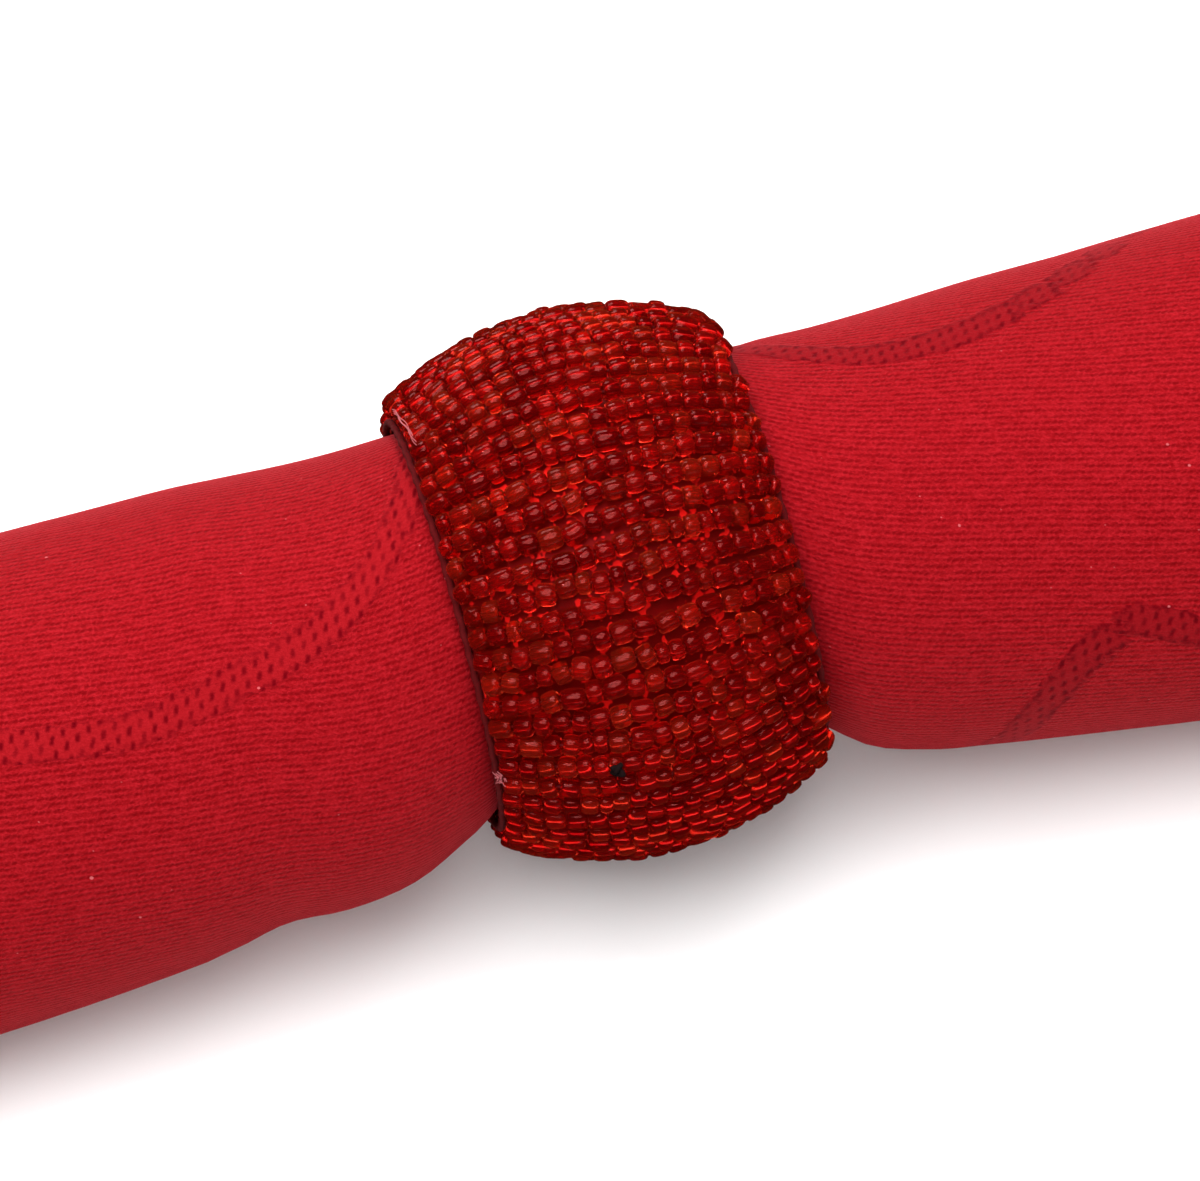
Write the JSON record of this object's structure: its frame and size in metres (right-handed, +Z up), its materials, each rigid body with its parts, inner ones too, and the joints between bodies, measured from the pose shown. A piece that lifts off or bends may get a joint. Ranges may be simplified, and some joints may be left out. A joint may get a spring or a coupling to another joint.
{
  "type": "rolled napkin in a beaded napkin ring",
  "caption": "Cloth napkin folded in half and rolled into a loose tube, pushed through a wide crowned napkin ring covered in rows of glass seed beads.",
  "frame": {"origin": "on the surface that the object rests on, under the middle of its bounding box, which is also under the ring", "axes": "+X along the roll and the ring's axis, -Y the front that the right end bends towards, +Z up"},
  "size_m": [0.2286, 0.0553, 0.0515],
  "materials": {
    "napkin_cloth": "satin damask weave with a soft sheen",
    "ring_lacquer": "dark red lacquer, satin",
    "bead_glass": "transparent red glass, polished"
  },
  "bodies": {
    "root": {"napkin": "napkin_cloth", "ring_band": "ring_lacquer", "bead_cover": "bead_glass"}
  },
  "joints": []
}
